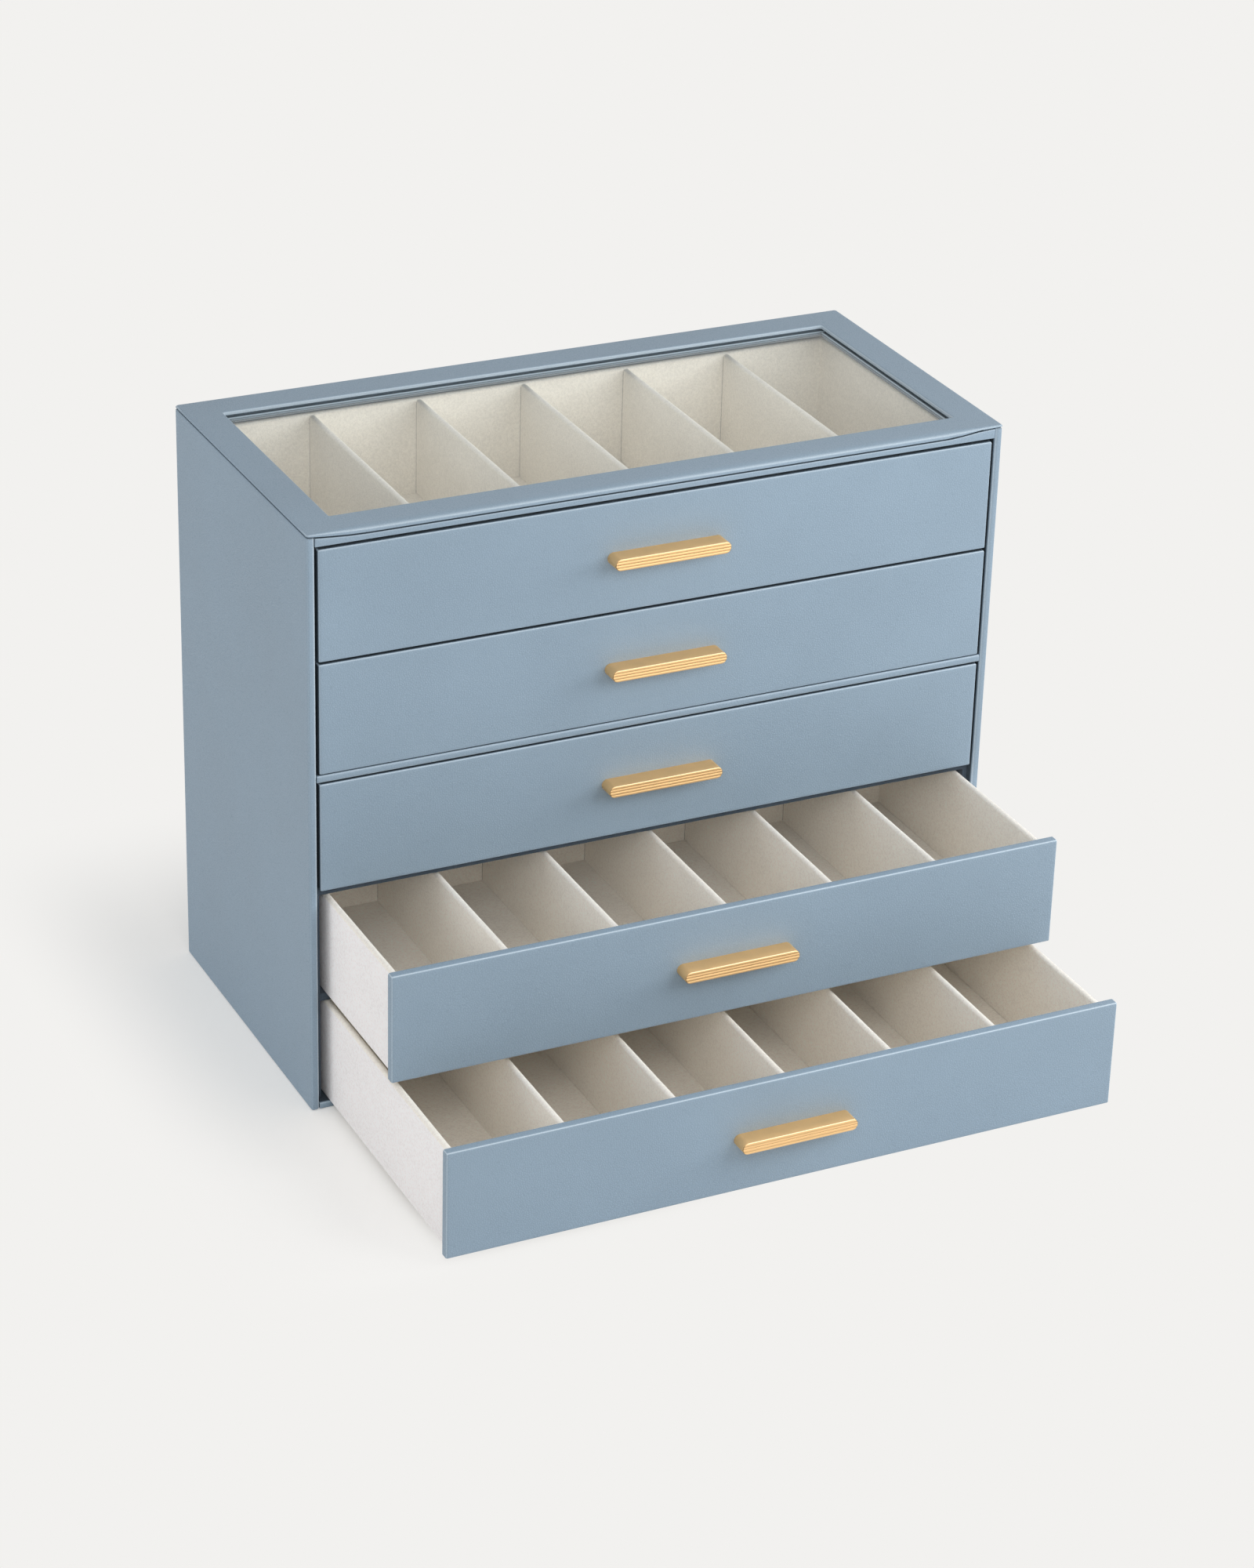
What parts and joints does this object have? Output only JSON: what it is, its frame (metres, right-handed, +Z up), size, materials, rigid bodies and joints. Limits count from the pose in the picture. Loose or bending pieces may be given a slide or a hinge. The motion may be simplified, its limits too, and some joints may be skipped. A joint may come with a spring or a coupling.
{
  "type": "eyeglass organizer box",
  "caption": "Wrapped organizer box for spectacles with a glazed lift-up lid and stacked drawers, each split into upright suede-lined compartments behind a front with a reeded bar handle.",
  "frame": {"origin": "centre of the face that the case stands on", "axes": "-Y towards the drawer fronts, +X to the right as seen from the front, +Z up"},
  "size_m": [0.44, 0.4092, 0.367],
  "materials": {
    "faux_leather": "satin, fine pebble grain",
    "suede": "matt microsuede",
    "lining_cloth": "matt brushed cloth",
    "lid_glass": "polished",
    "handle_brass": "satin",
    "hinge_brass": "satin",
    "screw": "satin"
  },
  "bodies": {
    "case": {"side_panel_left": "faux_leather", "side_panel_right": "faux_leather", "back_panel": "faux_leather", "floor_board": "faux_leather", "middle_shelf": "faux_leather", "shelf_under_drawer_1": "lining_cloth", "shelf_under_drawer_3": "lining_cloth", "shelf_under_drawer_4": "lining_cloth", "top_rail_front": "faux_leather", "top_rail_back": "faux_leather", "top_rail_left": "faux_leather", "top_rail_right": "faux_leather", "side_liners_left": "lining_cloth", "side_liners_right": "lining_cloth", "hinge_leaf_case_left": "hinge_brass", "hinge_leaf_case_right": "hinge_brass", "hinge_pin_left": "hinge_brass", "hinge_pin_right": "hinge_brass", "hinge_screws_case": "screw"},
    "lid": {"lid_frame": "faux_leather", "lid_glass": "lid_glass", "hinge_leaf_lid_left": "hinge_brass", "hinge_leaf_lid_right": "hinge_brass", "hinge_screws_lid": "screw"},
    "drawer_1": {"drawer_1_front": "faux_leather", "drawer_1_side_walls": "suede", "drawer_1_end_walls": "suede", "drawer_1_base": "suede", "drawer_1_dividers": "suede", "drawer_1_handle": "handle_brass", "drawer_1_handle_screws": "screw"},
    "drawer_2": {"drawer_2_front": "faux_leather", "drawer_2_side_walls": "suede", "drawer_2_end_walls": "suede", "drawer_2_base": "suede", "drawer_2_dividers": "suede", "drawer_2_handle": "handle_brass", "drawer_2_handle_screws": "screw"},
    "drawer_3": {"drawer_3_front": "faux_leather", "drawer_3_side_walls": "suede", "drawer_3_end_walls": "suede", "drawer_3_base": "suede", "drawer_3_dividers": "suede", "drawer_3_handle": "handle_brass", "drawer_3_handle_screws": "screw"},
    "drawer_4": {"drawer_4_front": "faux_leather", "drawer_4_side_walls": "suede", "drawer_4_end_walls": "suede", "drawer_4_base": "suede", "drawer_4_dividers": "suede", "drawer_4_handle": "handle_brass", "drawer_4_handle_screws": "screw"},
    "drawer_5": {"drawer_5_front": "faux_leather", "drawer_5_side_walls": "suede", "drawer_5_end_walls": "suede", "drawer_5_base": "suede", "drawer_5_dividers": "suede", "drawer_5_handle": "handle_brass", "drawer_5_handle_screws": "screw"}
  },
  "joints": [
    {"name": "lid_hinge", "type": "hinge", "parent": "case", "child": "lid", "pos_m": [0, 0.1075, 0.3627], "axis": [-1, 0, 0], "range_deg": [0, 100]},
    {"name": "drawer_1_slide", "type": "slide", "parent": "case", "child": "drawer_1", "axis": [0, -1, 0], "range_m": [0, 0.183]},
    {"name": "drawer_2_slide", "type": "slide", "parent": "case", "child": "drawer_2", "axis": [0, -1, 0], "range_m": [0, 0.183]},
    {"name": "drawer_3_slide", "type": "slide", "parent": "case", "child": "drawer_3", "axis": [0, -1, 0], "range_m": [0, 0.183]},
    {"name": "drawer_4_slide", "type": "slide", "parent": "case", "child": "drawer_4", "axis": [0, -1, 0], "range_m": [-0.105, 0.078]},
    {"name": "drawer_5_slide", "type": "slide", "parent": "case", "child": "drawer_5", "axis": [0, -1, 0], "range_m": [-0.183, 0]}
  ]
}
